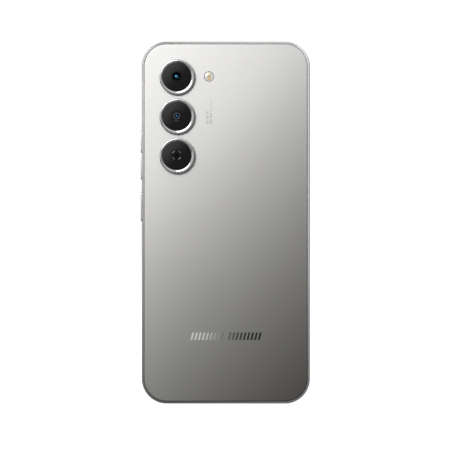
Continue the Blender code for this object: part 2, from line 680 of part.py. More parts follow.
def make_usb_port():
    """Steel shell with the contact tongue inside, sealed against the frame."""
    half_x, half_y = USB_HALF_WIDTH, USB_HALF_DEPTH
    start = 0.15
    shell = block("usb_c_shell", (-half_x, PORT_Y - half_y, start),
                  (half_x, PORT_Y + half_y, USB_LENGTH), corner=half_y * 0.97, axis="Z", steps=6)
    inner_x, inner_y = half_x - USB_WALL, half_y - USB_WALL
    cut(shell, block("usb_bore", (-inner_x, PORT_Y - inner_y, start - 1),
                     (inner_x, PORT_Y + inner_y, USB_LENGTH + 1), corner=inner_y * 0.97,
                     axis="Z", steps=6))
    finish(shell, STEEL, 0.3, 1.0)
    tongue = block("usb_c_tongue", (-3.35, PORT_Y - 0.35, 1.0), (3.35, PORT_Y + 0.35, 7.2),
                   corner=0.3, axis="Y", steps=2)
    join(tongue, block("tongue_base", (-3.3, PORT_Y - inner_y + GAP, 6.4),
                       (3.3, PORT_Y + inner_y - GAP, USB_LENGTH)))
    finish(tongue, BLACK_PLASTIC, 0.5)
    seal = block("usb_seal", (-half_x - 0.6, PORT_Y - half_y - 0.5, WALL + GAP),
                 (half_x + 0.6, PORT_Y + half_y + 0.5, WALL + 1.0), corner=half_y, axis="Z")
    cut(seal, block("seal_bore", (-half_x - GAP, PORT_Y - half_y - GAP, WALL - 1),
                    (half_x + GAP, PORT_Y + half_y + GAP, WALL + 2), corner=half_y * 0.97,
                    axis="Z"))
    finish(seal, (0.4, 0.02, 0.02), 0.7)


def make_loudspeaker():
    """Driver set in an enclosure that opens onto the row of holes."""
    box = block("speaker_box", (10.6, -2.75, 2.9), (36, 0.7, 22.4))
    keep_inside(box)
    x, z = SCREW_PLACES[4]
    cut(box,
        block("box_hollow", (11.3, -2.15, 8.2), (30.0, 0.1, 21.7)),
        block("box_port", (12.2, PORT_Y - 0.9, 1.5), (24.9, PORT_Y + 0.9, 9.0)),
        block("driver_opening", (13.8, -4, 8.8), (29.4, -1.5, 20.4)),
        rod("box_screw_hole", (x, -4, z), (x, 2, z), SCREW_HOLE, sides=10))
    finish(box, BLACK_PLASTIC, 0.5)
    driver = block("loudspeaker", (14.1, -2.7, 9.1), (29.1, -0.2, 20.1), corner=1.5)
    finish(driver, (0.12, 0.12, 0.13), 0.35, 0.5)
    mesh = block("speaker_mesh", (12.0, PORT_Y - 1.0, WALL + GAP), (25.0, PORT_Y + 1.0, 2.78),
                 corner=0.9, axis="Z", steps=3)
    finish(mesh, STEEL, 0.6, 0.8)


def make_vibration_motor():
    """Coin motor: a cup over a base with a fixed pin, and an off-centre rotor on the pin."""
    top, wall = 2.7, 0.25
    inside = MOTOR_RADIUS - wall
    case = [(0, top), (MOTOR_RADIUS - 0.2, top), (MOTOR_RADIUS, top - 0.2), (MOTOR_RADIUS, 0.4),
            (inside, 0.4), (inside, top - wall), (0, top - wall)]
    finish(turned("vibration_motor_case", case, MOTOR_X, MOTOR_Z, steps=28), STEEL, 0.3, 1.0)
    pin, base_top = 0.35, 0.3
    base = [(0, 2.3), (pin, 2.3), (pin, base_top), (MOTOR_RADIUS, base_top), (MOTOR_RADIUS, 0),
            (0, 0)]
    finish(turned("vibration_motor_base", base, MOTOR_X, MOTOR_Z, steps=28), GOLD_BROWN, 0.4, 0.6)
    rim, hub = 4.0, 0.55
    rotor = turned("vibration_rotor", [(rim, 2.2), (rim, 0.7), (hub, 0.7), (hub, 2.2)],
                   MOTOR_X, MOTOR_Z, steps=24, closed=True)
    cut(rotor, block("rotor_relief", (MOTOR_X - 5, -4, MOTOR_Z + 1.1),
                     (MOTOR_X + 5, 2, MOTOR_Z + 6)))
    finish(rotor, BRIGHT_METAL, 0.4, 1.0)


make_side_frame()
make_rear_cover()
make_mid_plate()
make_board_cover()
make_screws()
make_display()
make_front_camera()
make_main_board()
make_sub_board()
make_battery()
make_wiring()
make_cameras()
make_flash()
make_keys()
make_sim_tray()
make_usb_port()
make_loudspeaker()
make_vibration_motor()
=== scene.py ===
"""Looks of a slim smartphone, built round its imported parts.

It stands upright with its back towards -Y and its keys on the -X side. Lengths are metres,
and mm turns millimetres into them. A material works in millimetres across, through and up.
"""

from math import pi, radians, sin, cos

import bmesh
import bpy
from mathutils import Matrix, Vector


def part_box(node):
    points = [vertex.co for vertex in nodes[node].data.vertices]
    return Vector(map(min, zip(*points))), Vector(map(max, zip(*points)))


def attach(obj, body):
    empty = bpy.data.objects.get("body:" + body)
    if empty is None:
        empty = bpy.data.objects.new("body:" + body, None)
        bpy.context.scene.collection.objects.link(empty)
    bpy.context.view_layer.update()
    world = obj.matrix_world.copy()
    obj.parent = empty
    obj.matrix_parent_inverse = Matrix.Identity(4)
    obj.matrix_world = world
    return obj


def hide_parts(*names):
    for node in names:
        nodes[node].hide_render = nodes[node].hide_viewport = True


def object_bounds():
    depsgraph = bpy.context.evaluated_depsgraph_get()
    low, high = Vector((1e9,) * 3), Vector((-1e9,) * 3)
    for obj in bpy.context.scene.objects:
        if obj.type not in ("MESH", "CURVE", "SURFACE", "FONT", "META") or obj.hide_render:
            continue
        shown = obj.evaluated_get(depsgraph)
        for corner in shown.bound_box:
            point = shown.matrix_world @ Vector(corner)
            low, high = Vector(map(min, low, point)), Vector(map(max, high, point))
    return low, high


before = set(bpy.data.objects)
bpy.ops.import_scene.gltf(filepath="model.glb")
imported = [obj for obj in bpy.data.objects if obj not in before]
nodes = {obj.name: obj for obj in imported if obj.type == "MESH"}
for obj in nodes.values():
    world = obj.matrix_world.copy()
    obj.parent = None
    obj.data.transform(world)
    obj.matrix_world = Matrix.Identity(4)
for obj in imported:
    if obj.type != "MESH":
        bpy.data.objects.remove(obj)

cad_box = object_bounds()


# ---------------------------------------------------------------- camera
# The phone is seen square from behind, from far enough away that its sides don't show. The
# view is centred a little left of and below the phone's own middle.

mm = 0.001
view_distance = 600 * mm
view_width = 206.06 * mm
view_centre = Vector((-0.4, 0, 81.8)) * mm
back_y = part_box("rear_cover")[0].y

lens = bpy.data.cameras.new("camera")
lens.sensor_width = 36
lens.lens = lens.sensor_width * view_distance / view_width
lens.clip_start = 0.01
camera = bpy.data.objects.new("camera", lens)
camera.location = view_centre + Vector((0, back_y - view_distance, 0))
camera.rotation_euler = (pi / 2, 0, 0)
bpy.context.scene.collection.objects.link(camera)
bpy.context.scene.camera = camera
bpy.context.scene.view_settings.view_transform = "Standard"


# ---------------------------------------------------------------- light and floor
# A white sweep all round, with one large soft light high on the left of the camera and one on
# the display side. What the phone reflects falls away towards the lower right, so polished
# edges show dark there.

class Wire:
    """A node's output, which takes part in sums as a number would."""

    def __init__(self, recipe, socket):
        self.recipe = recipe
        self.socket = socket

    def math(self, operation, *terms):
        return self.recipe.node("ShaderNodeMath", {"operation": operation}, dict(enumerate(terms)))

    def __add__(self, term):
        return self.math("ADD", self, term)

    def __sub__(self, term):
        return self.math("SUBTRACT", self, term)

    def __rsub__(self, term):
        return self.math("SUBTRACT", term, self)

    def __mul__(self, term):
        return self.math("MULTIPLY", self, term)

    def __truediv__(self, term):
        return self.math("DIVIDE", self, term)

    def __pow__(self, term):
        return self.math("POWER", self, term)

    def __mod__(self, term):
        return self.math("FLOORED_MODULO", self, term)

    def __abs__(self):
        return self.math("ABSOLUTE", self)

    __radd__ = __add__
    __rmul__ = __mul__


class Recipe:
    """The node tree of one finish, and what its patterns are worked out from."""

    def __init__(self, tree):
        self.tree = tree

    def node(self, kind, settings=None, inputs=None, output=0):
        made = self.tree.nodes.new(kind)
        for name, value in (settings or {}).items():
            if name == "stops":
                self.set_stops(made.color_ramp, value)
            else:
                setattr(made, name, value)
        for name, value in (inputs or {}).items():
            socket = made.inputs[name]
            if isinstance(value, Wire):
                self.tree.links.new(value.socket, socket)
            else:
                socket.default_value = value
        return Wire(self, made.outputs[output])

    def set_stops(self, ramp, stops):
        first, *between, last = stops
        for element, (place, colour) in zip(ramp.elements, (first, last)):
            element.position = place
            element.color = (*colour, 1)
        for place, colour in between:
            ramp.elements.new(place).color = (*colour, 1)

    def rise(self, value, low, high):
        """0 up to low, 1 from high on, and smooth between them."""
        return self.node("ShaderNodeMapRange", {"interpolation_type": "SMOOTHSTEP"},
                         {0: value, 1: low, 2: high})

    def tint(self, share, first, second):
        """From the first colour to the second as the share goes from 0 to 1."""
        ends = [colour if isinstance(colour, Wire) else (*colour, 1) for colour in (first, second)]
        return self.node("ShaderNodeMix", {"data_type": "RGBA"},
                         {0: share, 6: ends[0], 7: ends[1]}, 2)


world = bpy.data.worlds.new("studio")
world.use_nodes = True
bpy.context.scene.world = world
studio = Recipe(world.node_tree)
heading = studio.node("ShaderNodeTexCoord", output="Generated")
brighter_way = Vector((-0.5, 0.0, 0.87))
lift = studio.node("ShaderNodeVectorMath", {"operation": "DOT_PRODUCT"},
                   {0: heading, 1: brighter_way}, "Value")
glow = studio.node("ShaderNodeValToRGB",
                   {"stops": [(0.0, (0.03,) * 3), (0.35, (0.10,) * 3), (0.5, (0.27,) * 3),
                              (0.62, (0.58,) * 3), (0.8, (0.78,) * 3), (1.0, (0.88,) * 3)]},
                   {0: lift * 0.5 + 0.5})
seen = studio.node("ShaderNodeLightPath", output="Is Camera Ray")
sky = studio.tint(seen, glow, (1.02, 1.02, 1.02))
world.node_tree.links.new(sky.socket, world.node_tree.nodes["Background"].inputs["Color"])

light_aim = Vector((0, back_y, 83 * mm))


def softbox(name, off_axis, turn, distance, size, power):
    """Rectangular light aimed at the phone, off the camera's axis and turned up from its right."""
    lamp = bpy.data.lights.new(name, "AREA")
    lamp.shape = "RECTANGLE"
    lamp.size, lamp.size_y = size
    lamp.energy = power
    light = bpy.data.objects.new(name, lamp)
    away = Vector((sin(off_axis) * cos(turn), -cos(off_axis), sin(off_axis) * sin(turn)))
    light.location = light_aim + away * distance
    light.rotation_euler = away.to_track_quat("Z", "Y").to_euler()
    bpy.context.scene.collection.objects.link(light)
    return light


upper_left = (radians(31), radians(126), 0.95, (0.50, 0.32))
key_light = softbox("key_light", *upper_left, 5.1)
edge_light = softbox("edge_light", *upper_left, 1.05)
softbox("display_light", radians(140), radians(60), 0.9, (0.5, 0.5), 3.0)

bpy.ops.object.select_all(action="DESELECT")
bpy.ops.mesh.primitive_plane_add(size=6, location=(0, 0, 0))
floor = bpy.context.object
floor.name = "floor"
floor_paint = bpy.data.materials.new("floor_paint")
floor_paint.use_nodes = True
pale = Recipe(floor_paint.node_tree)
floor_shader = floor_paint.node_tree.nodes["Principled BSDF"]
floor_shader.inputs["Base Color"].default_value = (0.12, 0.12, 0.12, 1)
floor_shader.inputs["Roughness"].default_value = 0.8
floor_shader.inputs["Emission Strength"].default_value = 1
shown = pale.node("ShaderNodeLightPath", output="Is Camera Ray")
shine = pale.tint(shown, (0, 0, 0), (0.97, 0.97, 0.97))
pale.tree.links.new(shine.socket, floor_shader.inputs["Emission Color"])
floor.data.materials.append(floor_paint)


# ---------------------------------------------------------------- rear panel
# Thin satin panel with a ground outer edge, glued into the frame, in a fine metallic finish. Its
# colour is painted pale silver at the top left, falling to graphite at the bottom right: painted
# light and shade, as from a light high on the left.

X, Y, Z = range(3)


def pick(kind, test):
    """Select just the vertices, edges or faces of the open piece that pass a test."""
    bpy.ops.mesh.select_mode(type=kind)
    bpy.ops.mesh.select_all(action="DESELECT")
    shape = bmesh.from_edit_mesh(bpy.context.edit_object.data)
    for item in {"VERT": shape.verts, "EDGE": shape.edges, "FACE": shape.faces}[kind]:
        if test(item):
            item.select_set(True)
    shape.select_flush_mode()
    bmesh.update_edit_mesh(bpy.context.edit_object.data)


def along(axis):
    """True of an edge that runs along an axis."""
    return lambda edge: abs((edge.verts[0].co - edge.verts[1].co)[axis]) > 0.9 * edge.calc_length()


def lying(axis, level):
    """True of an edge or a face that lies at a level of an axis."""
    return lambda item: all(abs(vert.co[axis] - level) < 0.001 * mm for vert in item.verts)


def soften(width, steps):
    """Round the selected edges."""
    bpy.ops.mesh.bevel(offset=width, segments=steps, profile=0.5, affect="EDGES")


def block(name, low, high):
    """Box between two corners, in place and open for editing."""
    bpy.ops.object.select_all(action="DESELECT")
    low, high = Vector(low), Vector(high)
    bpy.ops.mesh.primitive_cube_add(size=1, location=(low + high) / 2, scale=high - low)
    piece = bpy.context.object
    piece.name = name
    bpy.ops.object.transform_apply(location=True, rotation=True, scale=True)
    bpy.ops.object.mode_set(mode="EDIT")
    return piece


def slab(name, low, high, corner, axis, steps=12):
    """Box whose edges along one axis are rounded, open for editing."""
    piece = block(name, low, high)
    pick("EDGE", along(axis))
    soften(corner, steps)
    return piece


def keep_flat(test, margin=0.15 * mm):
    """Leave a narrow flat margin inside the rounded edges of some faces, which then shade flat."""
    pick("FACE", test)
    bpy.ops.mesh.inset(thickness=margin)


def close():
    """Stop editing and give back the piece."""
    bpy.ops.object.mode_set(mode="OBJECT")
    return bpy.context.object


def bar(name, start, end, radius, sides=48):
    """Round bar between two points, used to drill."""
    start, end = Vector(start), Vector(end)
    bpy.ops.object.select_all(action="DESELECT")
    bpy.ops.mesh.primitive_cylinder_add(
        vertices=sides, radius=radius, depth=(end - start).length, location=(start + end) / 2,
        rotation=(end - start).to_track_quat("Z", "Y").to_euler())
    bpy.context.object.name = name
    return bpy.context.object


def carve(piece, *tools):
    """Cut the tools' shapes out of a piece, and put the tools away."""
    bpy.context.view_layer.objects.active = piece
    for tool in tools:
        cut = piece.modifiers.new("cut", "BOOLEAN")
        cut.operation = "DIFFERENCE"
        cut.object = tool
        bpy.ops.object.modifier_apply(modifier=cut.name)
        bpy.data.objects.remove(tool)


class Finish(Recipe):
    """A material on a Principled shader. What doesn't vary is set on the shader itself."""

    def __init__(self, name, roughness, metallic=0.0, **fixed):
        self.material = bpy.data.materials.new(name)
        self.material.use_nodes = True
        super().__init__(self.material.node_tree)
        self.shader = self.tree.nodes["Principled BSDF"]
        self.shader.inputs["Roughness"].default_value = roughness
        self.shader.inputs["Metallic"].default_value = metallic
        for name, value in fixed.items():
            self.shader.inputs[name.replace("_", " ")].default_value = value

    def place(self):
        """Millimetres across, through and up the phone."""
        point = self.node("ShaderNodeTexCoord", output="Object")
        split = self.node("ShaderNodeSeparateXYZ", inputs={0: point}).socket.node
        return [Wire(self, split.outputs[axis]) * 1000 for axis in "XYZ"]

    def grain(self, size, detail=2.0, stretch=(1, 1, 1)):
        """Cloudy noise from 0 to 1, with grains of about a size in millimetres."""
        point = self.node("ShaderNodeTexCoord", output="Object")
        scaled = self.node("ShaderNodeMapping", inputs={"Vector": point, "Scale": stretch})
        return self.node("ShaderNodeTexNoise", inputs={"Vector": scaled, "Scale": 1000 / size,
                                                       "Detail": detail})

    def feed(self, socket, wire):
        self.tree.links.new(wire.socket, self.shader.inputs[socket])

    def relief(self, height, depth, strength=1.0):
        """Fine surface relief, whose full height is a depth in millimetres."""
        self.feed("Normal", self.node("ShaderNodeBump", inputs={
            "Height": height, "Distance": depth * mm, "Strength": strength}))


def dress(piece, finish):
    """Shade a piece and give it its finish."""
    bpy.ops.object.select_all(action="DESELECT")
    piece.select_set(True)
    bpy.context.view_layer.objects.active = piece
    bpy.ops.object.shade_smooth_by_angle(angle=radians(28))
    piece.data.materials.clear()
    piece.data.materials.append(finish.material)


cameras = ("top", "middle", "bottom")
ring_hole, flash_hole = 7.6 * mm, 2.35 * mm
panel_low, panel_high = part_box("rear_cover")
panel = slab("rear_panel", panel_low, panel_high, 10.25 * mm, Y, 28)
pick("EDGE", lying(Y, panel_low.y))
soften(0.3 * mm, 5)
keep_flat(lying(Y, panel_low.y))
close()
ring_centres = {}
for name in cameras:
    ring_low, ring_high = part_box("camera_ring_" + name)
    ring_centres[name] = (ring_low + ring_high) / 2
    middle = ring_centres[name]
    carve(panel, bar("drill", (middle.x, back_y - 2 * mm, middle.z),
                     (middle.x, back_y + 2 * mm, middle.z), ring_hole, 96))
flash_low, flash_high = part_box("flash_lens")
flash_centre = (flash_low + flash_high) / 2
carve(panel, bar("drill", (flash_centre.x, back_y - 2 * mm, flash_centre.z),
                 (flash_centre.x, back_y + 2 * mm, flash_centre.z), flash_hole, 64))

satin = Finish("satin_panel", 0.46, 0.45)
across, through, up = satin.place()
middle_up = cad_box[1][Z] / 2 / mm
# Painted light and shade: the base colour falls from pale at the top left to dark at the bottom
# right, across and down the panel.
painted_falloff_start, painted_falloff_ease = -53, 30
down = across - (up - middle_up) - painted_falloff_start
down = down.math("SMOOTH_MAX", down, 0.0, painted_falloff_ease)
tone = 0.837 - down * (0.00273 + down * 0.0000014) - across * 0.00034
shade = tone ** 2.2
speckle = (satin.grain(0.16, 1.0) - 0.5) * 0.10 + (satin.grain(0.9) - 0.5) * 0.03
satin.feed("Base Color", satin.tint((shade - 0.09) / 0.78 + speckle * shade,
                                    (0.0955, 0.092, 0.0805), (0.87, 0.863, 0.848)))
satin.feed("Roughness", 0.43 + satin.grain(0.3) * 0.08)
satin.relief(satin.grain(0.14, 1.0), 0.004)
dress(panel, satin)
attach(panel, "phone")
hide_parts("rear_cover")


# ---------------------------------------------------------------- side frame
# One flat-sided band, machined and bead-blasted, with rounded rims and a ledge for each
# glued cover. Slots for the keys and the card tray go through its sides, and the socket's
# mouth and the holes for sound through its ends.

band_low, band_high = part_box("side_frame")
band_corner = 11.4 * mm
rim_round, rim_width, wall = 0.45 * mm, 1.0 * mm, 2.4 * mm
rear_ledge, front_ledge = 0.8 * mm, -0.85 * mm
band = slab("frame_band", band_low, band_high, band_corner, Y, 28)
for level in (band_low.y, band_high.y):
    pick("EDGE", lying(Y, level))
    soften(rim_round, 5)
keep_flat(lambda face: abs(face.normal.y) < 0.01)
for level, ledge in ((band_low.y, rear_ledge), (band_high.y, front_ledge)):
    pick("FACE", lying(Y, level))
    bpy.ops.mesh.inset(thickness=rim_width - rim_round)
    bpy.ops.mesh.extrude_region_move(TRANSFORM_OT_translate={"value": (0, ledge, 0)})
    bpy.ops.mesh.inset(thickness=wall - rim_width)
window_area = 0.005
pick("FACE", lambda face: abs(face.normal.y) > 0.9 and face.calc_area() > window_area)
bpy.ops.mesh.bridge_edge_loops()
bpy.ops.mesh.select_all(action="SELECT")
bpy.ops.mesh.normals_make_consistent(inside=False)
close()

key_nodes = ("volume_up_button", "volume_down_button", "power_button")
clearance = 0.15 * mm
flange = 0.7 * mm
key_half = 1.1 * mm
pocket_half, skin = 1.6 * mm, 1.1 * mm
slot_half = key_half + clearance
for name in key_nodes:
    key_low, key_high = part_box(name)
    slot = slab("slot", (band_low.x - 1 * mm, -slot_half, key_low.z + flange - clearance),
                (band_low.x + 4 * mm, slot_half, key_high.z - flange + clearance),
                slot_half * 0.98, X)
    close()
    pocket = block("pocket", (band_low.x + skin, -pocket_half, key_low.z - 0.2 * mm),
                   (band_low.x + 4 * mm, pocket_half, key_high.z + 0.2 * mm))
    close()
    carve(band, slot, pocket)

tray_low, tray_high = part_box("sim_tray")
tray_middle = (tray_low.y + tray_high.y) / 2
seat_half = (tray_high.y - tray_low.y) / 2 + clearance
drawer_low, drawer_high = 123.9 * mm, 134.7 * mm
seat_depth, way_half = 1.05 * mm, 0.65 * mm
seat = slab("seat", (band_high.x - seat_depth, tray_middle - seat_half, tray_low.z - clearance),
            (band_high.x + 1 * mm, tray_middle + seat_half, tray_high.z + clearance),
            seat_half * 0.98, X)
close()
way = block("way", (band_high.x - 4 * mm, tray_middle - way_half, drawer_low - 0.2 * mm),
            (band_high.x - 0.8 * mm, tray_middle + way_half, drawer_high + 0.2 * mm))
close()
carve(band, seat, way)

port_low, port_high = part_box("usb_c_shell")
port_middle = (port_low.y + port_high.y) / 2
mouth_half = (port_high.y - port_low.y) / 2 + clearance
mouth = slab("mouth", (port_low.x - clearance, port_middle - mouth_half, -1 * mm),
             (port_high.x + clearance, port_middle + mouth_half, 4 * mm), mouth_half * 0.98, Z)
close()
carve(band, mouth)
speaker_start, speaker_pitch, speaker_hole = 13.0 * mm, 2.2 * mm, 0.7 * mm
mic_x, mic_hole, top_mic_hole = -12.5 * mm, 0.5 * mm, 0.4 * mm
drills = [(speaker_start + speaker_pitch * step, speaker_hole) for step in range(6)]
for x, radius in drills + [(mic_x, mic_hole)]:
    carve(band, bar("drill", (x, port_middle, -1 * mm), (x, port_middle, 4 * mm), radius, 32))
carve(band, bar("drill", (mic_x, 0, band_high.z - 4 * mm), (mic_x, 0, band_high.z + 1 * mm),
                top_mic_hole, 32))


def blasted(name, tone, roughness):
    """Anodised metal with a fine blasted grain, its colour painted with light and shade: palest on
    its outer faces and to the right.

    The bare numbers are levels across, through and up the phone in millimetres, where one tone
    passes into the next, and shares of the tone. Inside the rim the colour is painted darker, a
    line of painted shade where the panel meets it.
    """
    metal = Finish(name, roughness, 0.85)
    across, through, up = metal.place()
    # Painted light and shade: darker towards the bottom and along the top end, lighter to the right
    # and up the right side, darker at the top left corner, and lighter on the flat outer faces.
    lengthwise = (0.6 + metal.rise(up, -10, 80) * 0.4) * (1 - metal.rise(up, 163.4, 165) * 0.4)
    crosswise = 0.85 + metal.rise(across, -38, 38) * 0.77
    corner = band_corner / mm
    past_straight = [abs(across) - (band_high.x / mm - corner),
                     abs(up - middle_up) - (middle_up - corner)]
    past = [gap.math("MAXIMUM", gap, 0.0) for gap in past_straight]
    from_rim = corner - (past[0] * past[0] + past[1] * past[1]) ** 0.5
    # Painted shade: everything inward of the rim is darker, which leaves a dark line where the
    # panel meets it.
    gap_shade = 1 - metal.rise(from_rim, 0.75, 0.95) * 0.42
    far_side = 1 + metal.rise(across, 30, 38) * metal.rise(up, 20, 90) * 0.28
    near_corner = 1 - metal.rise(up - across, 182, 196) * 0.3
    outer_faces = 1 + metal.rise(abs(through), 3.45, 3.0) * metal.rise(up, 165, 163) * 0.8
    painted_light_and_shade = lengthwise * crosswise * gap_shade * far_side * near_corner * outer_faces
    bright = metal.tint(painted_light_and_shade * 0.5, (0, 0, 0), [part * tone * 2 for part in (1.0, 0.985, 0.99)])
    speck = metal.grain(0.12, 1.0)
    metal.feed("Base Color", metal.tint(metal.rise(speck, 0.3, 0.8) * 0.12, bright,
                                        (0.85, 0.85, 0.86)))
    metal.feed("Roughness", roughness - 0.05 + metal.grain(0.5) * 0.1)
    metal.relief(speck, 0.003)
    return metal


frame_metal = blasted("frame_metal", 0.42, 0.42)
dress(band, frame_metal)
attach(band, "phone")
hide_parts("side_frame")


# ---------------------------------------------------------------- cover glass
# One sheet of strengthened glass with a black printed border and an earpiece notch. The
# display behind it is off, so it shows as a slightly bluer field with the front camera's eye.

glass_low, glass_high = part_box("cover_glass")
glass = slab("display_glass", glass_low, glass_high, 10.2 * mm, Y, 28)
pick("EDGE", lying(Y, glass_high.y))
soften(0.3 * mm, 5)
keep_flat(lying(Y, glass_high.y))
close()
ear_low, ear_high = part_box("earpiece_mesh")
notch = slab("notch", (ear_low.x - 0.2 * mm, glass_low.y - 1 * mm, ear_low.z - 0.2 * mm),
             (ear_high.x + 0.2 * mm, glass_high.y + 1 * mm, glass_high.z + 1 * mm),
             0.3 * mm, Y, 4)
close()
carve(glass, notch)

display = Finish("display_front", 0.05, 0.0, IOR=1.5, Coat_Weight=0.4, Coat_Roughness=0.02)
across, through, up = display.place()
eye_up, eye_hole, eye_glass = 159.6, 2.8, 1.2
lit_half_wide, lit_half_tall, lit_middle = 35.9, 79.3, 84.3
side_gap = lit_half_wide - abs(across)
end_gap = lit_half_tall - abs(up - lit_middle)
lit_area = display.rise(side_gap.math("MINIMUM", side_gap, end_gap), -0.05, 0.05)
from_eye = (across * across + (up - eye_up) * (up - eye_up)) ** 0.5
around_eye = display.rise(from_eye, eye_hole - 0.05, eye_hole + 0.05)
cells_per_mm = 12
cell_rows = (abs((up * cells_per_mm) % 1.0 - 0.5)
              + abs((across * cells_per_mm) % 1.0 - 0.5)) * 0.2
field = display.tint(cell_rows + display.grain(9) * 0.4, (0.010, 0.011, 0.014),
                     (0.018, 0.020, 0.026))
front = display.tint(lit_area * around_eye, (0.0045, 0.0045, 0.005), field)
eye_ring = display.rise(from_eye, eye_glass - 0.05, eye_glass + 0.05)
eye_ring = eye_ring * (1 - display.rise(from_eye, 1.45, 1.6))
pupil = 1 - display.rise(from_eye, 0.5, 1.1)
front = display.tint(eye_ring, front, (0.03, 0.032, 0.038))
display.feed("Base Color", display.tint(pupil, front, (0.012, 0.016, 0.045)))
display.feed("Roughness", 0.04 + display.grain(14, 3.0) * 0.05)
dress(glass, display)
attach(glass, "phone")
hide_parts("cover_glass")


# ---------------------------------------------------------------- camera rings
# Three polished rings, turned and then bored off their own centres, so each is wider to the
# lower right, with rounded edges inside and out. They catch a dim light of their own, as the
# large one would burn out on polished metal.

def turned(name, passes, sides=96, hollow=False):
    """Round piece made circle by circle from the display side towards the back.

    Each pass is a radius, a depth and the centre it is struck from. A hollow piece ends on
    the circle that it starts with, and a radius of 0 closes to a point.
    """
    radius, depth, centre = passes[0]
    spot = Vector((centre.x, depth, centre.z))
    bpy.ops.object.select_all(action="DESELECT")
    bpy.ops.mesh.primitive_circle_add(vertices=sides, radius=radius, location=spot,
                                      rotation=(pi / 2, 0, 0),
                                      fill_type="NOTHING" if hollow else "NGON")
    piece = bpy.context.object
    piece.name = name
    bpy.ops.object.transform_apply(location=True, rotation=True, scale=True)
    bpy.ops.object.mode_set(mode="EDIT")
    bpy.ops.mesh.select_mode(type="EDGE" if hollow else "FACE")
    bpy.ops.mesh.select_all(action="SELECT")
    for next_radius, next_depth, next_centre in passes[1:]:
        next_spot = Vector((next_centre.x, next_depth, next_centre.z))
        bpy.ops.mesh.extrude_region_move(TRANSFORM_OT_translate={"value": next_spot - spot})
        if next_radius:
            size = next_radius / radius
            bpy.ops.transform.resize(value=(size, size, size), center_override=next_spot)
        else:
            bpy.ops.mesh.merge(type="COLLAPSE")
        radius, spot = next_radius, next_spot
    bpy.ops.mesh.select_mode(type="VERT")
    bpy.ops.mesh.select_all(action="SELECT")
    bpy.ops.mesh.remove_doubles(threshold=0.0005 * mm)
    bpy.ops.mesh.normals_make_consistent(inside=False)
    return close()


in_edge_light = bpy.data.collections.new("in_edge_light")
out_of_key_light = bpy.data.collections.new("out_of_key_light")
edge_light.light_linking.receiver_collection = in_edge_light
key_light.light_linking.receiver_collection = out_of_key_light

ring_outer, ring_foot, ring_bore, ring_ledge = 8.2, 7.4, 6.95, 5.9
polish = Finish("polished_ring", 0.1, 1.0)
across, through, up = polish.place()
top_ring, next_ring = [ring_centres[name] / mm for name in cameras[:2]]
ring_pitch = top_ring.z - next_ring.z
beside = across - top_ring.x
above = (up - top_ring.z + ring_pitch / 2) % ring_pitch - ring_pitch / 2
out = (beside * beside + above * above) ** 0.5
# Painted shadow: the ring's outer edge is painted dark grey all round, where it meets the panel.
edge_shadow = polish.rise(out, ring_outer - 0.22, ring_outer - 0.1)
bright = polish.tint(polish.grain(0.25, 2.0), (0.80, 0.80, 0.81), (0.90, 0.90, 0.90))
polish.feed("Base Color", polish.tint(edge_shadow, bright, (0.34, 0.33, 0.33)))
polish.feed("Roughness", 0.03 + polish.grain(0.6) * 0.05)
polish.relief(polish.grain(0.4, 1.0), 0.0006)

glass_centres = {}
for name in cameras:
    disc_low, disc_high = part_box("camera_glass_" + name)
    centre = (disc_low + disc_high) / 2
    glass_centres[name] = centre
    own = ring_centres[name]
    ring_low, ring_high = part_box("camera_ring_" + name)
    top = ring_low.y
    floor_y = ring_high.y - 1.2 * mm
    passes = [(ring_foot, ring_high.y, own), (ring_foot, back_y - 0.1 * mm, own),
              (ring_outer, back_y - 0.1 * mm, own), (ring_outer, top + 0.40 * mm, own),
              (8.16, top + 0.25 * mm, own), (8.06, top + 0.13 * mm, own),
              (7.93, top + 0.065 * mm, own), (7.78, top + 0.028 * mm, own), (7.6, top, own),
              (7.26, top + 0.016 * mm, own.lerp(centre, 0.45)), (6.99, top + 0.13 * mm, centre),
              (ring_bore, top + 0.22 * mm, centre), (ring_bore, floor_y, centre),
              (ring_ledge, floor_y, centre), (ring_ledge, ring_high.y, centre),
              (ring_foot, ring_high.y, own)]
    ring = turned("camera_bezel_" + name,
                  [(radius * mm, depth, spot) for radius, depth, spot in passes], 128, True)
    dress(ring, polish)
    in_edge_light.objects.link(ring)
    out_of_key_light.objects.link(ring)
    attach(ring, "phone")
    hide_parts("camera_ring_" + name)
for member in out_of_key_light.collection_objects:
    member.light_linking.link_state = "EXCLUDE"


# ---------------------------------------------------------------- camera windows and lenses
# Black-printed cover glasses, each left clear in the middle over its lens. The top lens has
# a blue coating, the middle one a fine bright rim, and the bottom one four light marks.

